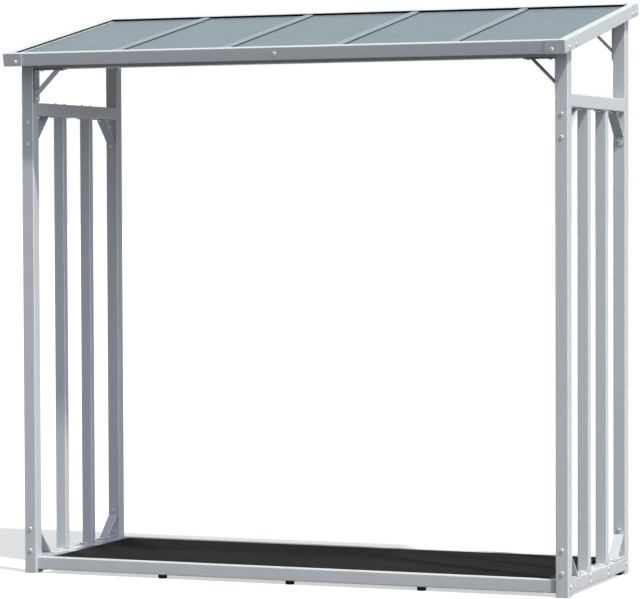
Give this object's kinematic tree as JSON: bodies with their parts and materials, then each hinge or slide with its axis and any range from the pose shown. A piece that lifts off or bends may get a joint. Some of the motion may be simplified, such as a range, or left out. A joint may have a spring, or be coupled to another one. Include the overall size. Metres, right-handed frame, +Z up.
{
  "type": "firewood rack",
  "caption": "Free-standing firewood rack of square metal tube with slatted sides, strutted corner brackets, a low floor and a pitched panel roof.",
  "frame": {"origin": "on the ground under the middle of the rack's bounding box", "axes": "+X along the rack to the right as seen from the open front, +Y from the front to the back, +Z up"},
  "size_m": [1.86, 0.7828, 1.8049],
  "materials": {
    "frame_paint": "silver-grey satin powder coat",
    "roof_paint": "silver-grey satin powder coat",
    "panel_sheet": "matte blue-grey sheet",
    "joint_bar": "matte grey extrusion",
    "seal_rubber": "matte black",
    "floor_paint": "matte black coat",
    "foot_rubber": "matte black",
    "zinc_steel": "bright zinc plate"
  },
  "bodies": {
    "root": {"bracket_screws": "zinc_steel", "floor_bar_1": "frame_paint", "floor_bar_2": "frame_paint", "floor_bar_screws": "zinc_steel", "floor_panel": "floor_paint", "front_feet": "foot_rubber", "front_left_post": "frame_paint", "front_lower_rail": "frame_paint", "front_right_post": "frame_paint", "front_top_beam": "frame_paint", "left_feet": "foot_rubber", "left_lower_rail": "frame_paint", "left_roof_brackets": "frame_paint", "left_side_brackets": "frame_paint", "left_slat_1": "frame_paint", "left_slat_2": "frame_paint", "left_upper_rail": "frame_paint", "lower_rail_screws": "zinc_steel", "post_bolts": "zinc_steel", "post_nuts": "zinc_steel", "rear_feet": "foot_rubber", "rear_left_post": "frame_paint", "rear_lower_rail": "frame_paint", "rear_right_post": "frame_paint", "rear_top_beam": "frame_paint", "right_feet": "foot_rubber", "right_lower_rail": "frame_paint", "right_roof_brackets": "frame_paint", "right_side_brackets": "frame_paint", "right_slat_1": "frame_paint", "right_slat_2": "frame_paint", "right_upper_rail": "frame_paint", "roof_front_rail": "roof_paint", "roof_front_seal": "seal_rubber", "roof_front_trim": "roof_paint", "roof_joint_bar_1": "joint_bar", "roof_joint_bar_2": "joint_bar", "roof_joint_bar_3": "joint_bar", "roof_joint_bar_4": "joint_bar", "roof_joint_gaskets": "seal_rubber", "roof_left_rail": "roof_paint", "roof_left_seal": "seal_rubber", "roof_left_trim": "roof_paint", "roof_panel_1": "panel_sheet", "roof_panel_2": "panel_sheet", "roof_panel_3": "panel_sheet", "roof_panel_4": "panel_sheet", "roof_panel_5": "panel_sheet", "roof_rear_rail": "roof_paint", "roof_rear_seal": "seal_rubber", "roof_rear_trim": "roof_paint", "roof_right_rail": "roof_paint", "roof_right_seal": "seal_rubber", "roof_right_trim": "roof_paint", "roof_screws": "zinc_steel", "slat_bolts": "zinc_steel"}
  },
  "joints": []
}
